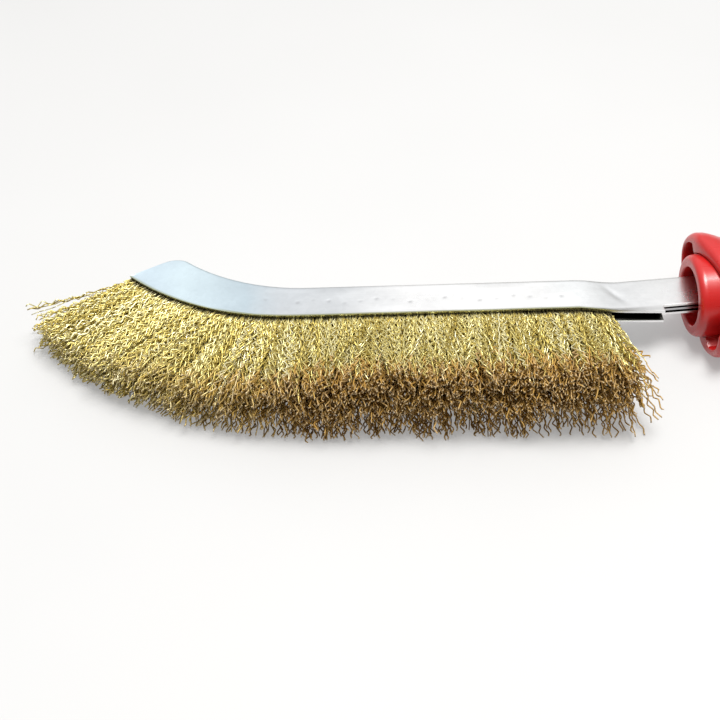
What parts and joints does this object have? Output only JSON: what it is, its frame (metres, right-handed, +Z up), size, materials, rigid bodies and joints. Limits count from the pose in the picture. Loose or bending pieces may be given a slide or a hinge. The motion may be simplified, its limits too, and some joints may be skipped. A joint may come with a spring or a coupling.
{
  "type": "wire brush",
  "caption": "Hand wire brush lying on its side: crimped wires in a folded steel channel with an upturned tip, and a round handle with a finger guard.",
  "frame": {"origin": "on the surface the brush lies on, under the centre of its bounding box", "axes": "+X along the brush towards the grip, +Y towards the channel's spine and away from the wires' tips, +Z up from the surface"},
  "size_m": [0.3592, 0.0786, 0.0385],
  "materials": {
    "channel_steel": "galvanised sheet, semi-matt",
    "strip_steel": "plain steel strip",
    "handle_plastic": "glossy moulded red plastic",
    "wire": "brass-coated crimped steel wire"
  },
  "bodies": {
    "root": {"brush_channel": "channel_steel", "core_strip": "strip_steel", "handle": "handle_plastic", "wire_bundle_01": "wire", "wire_bundle_02": "wire", "wire_bundle_03": "wire", "wire_bundle_04": "wire", "wire_bundle_05": "wire", "wire_bundle_06": "wire", "wire_bundle_07": "wire", "wire_bundle_08": "wire", "wire_bundle_09": "wire", "wire_bundle_10": "wire", "wire_bundle_11": "wire", "wire_bundle_12": "wire", "wire_bundle_13": "wire", "wire_bundle_14": "wire", "wire_bundle_15": "wire", "wire_bundle_16": "wire", "wire_bundle_17": "wire", "wire_bundle_18": "wire", "wire_bundle_19": "wire", "wire_bundle_20": "wire", "wire_bundle_21": "wire", "wire_bundle_22": "wire"}
  },
  "joints": []
}
